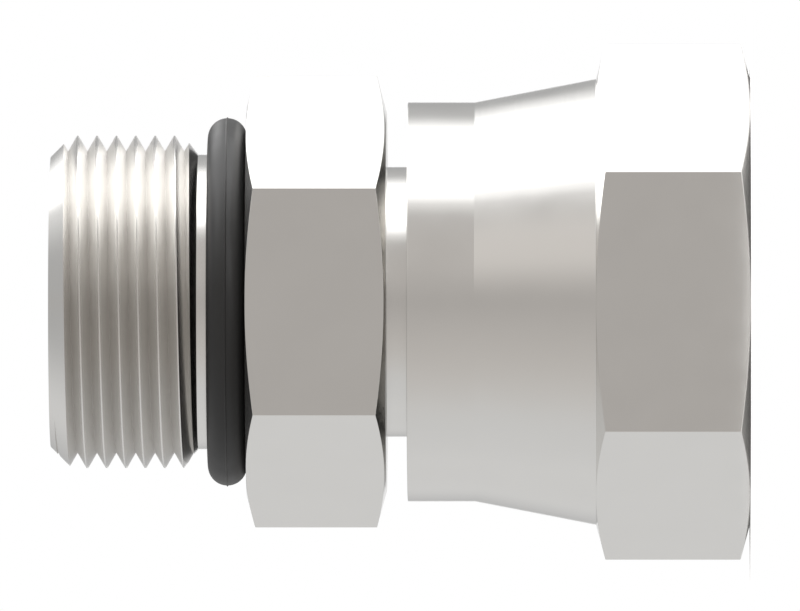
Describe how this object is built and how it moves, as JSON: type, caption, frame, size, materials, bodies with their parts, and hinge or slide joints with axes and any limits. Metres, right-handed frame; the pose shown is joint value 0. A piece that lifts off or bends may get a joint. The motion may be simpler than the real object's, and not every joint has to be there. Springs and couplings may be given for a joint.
{
  "type": "straight adapter",
  "caption": "Straight pipe adapter: a threaded stud with a seal ring and hexagon at one end, and a free-turning crimped nut round a conical seat at the other.",
  "frame": {"origin": "on the fitting's axis, in the plane of the swivel nut's open end face", "axes": "+Z along the axis from the nut's open end to the end of the stud; +X through a corner of each hexagon at rest"},
  "size_m": [0.0294, 0.0254, 0.0397],
  "materials": {
    "plated_steel": "turned and milled steel with a bright satin plating",
    "seal_rubber": "moulded black nitrile rubber, smooth and slightly shiny"
  },
  "bodies": {
    "adapter": {"adapter_body": "plated_steel", "o_ring": "seal_rubber"},
    "nut": {"swivel_nut": "plated_steel"}
  },
  "joints": [
    {"name": "nut_swivel", "type": "hinge", "parent": "adapter", "child": "nut", "pos_m": [0, 0, 0.01], "axis": [0, 0, 1], "continuous": true}
  ]
}
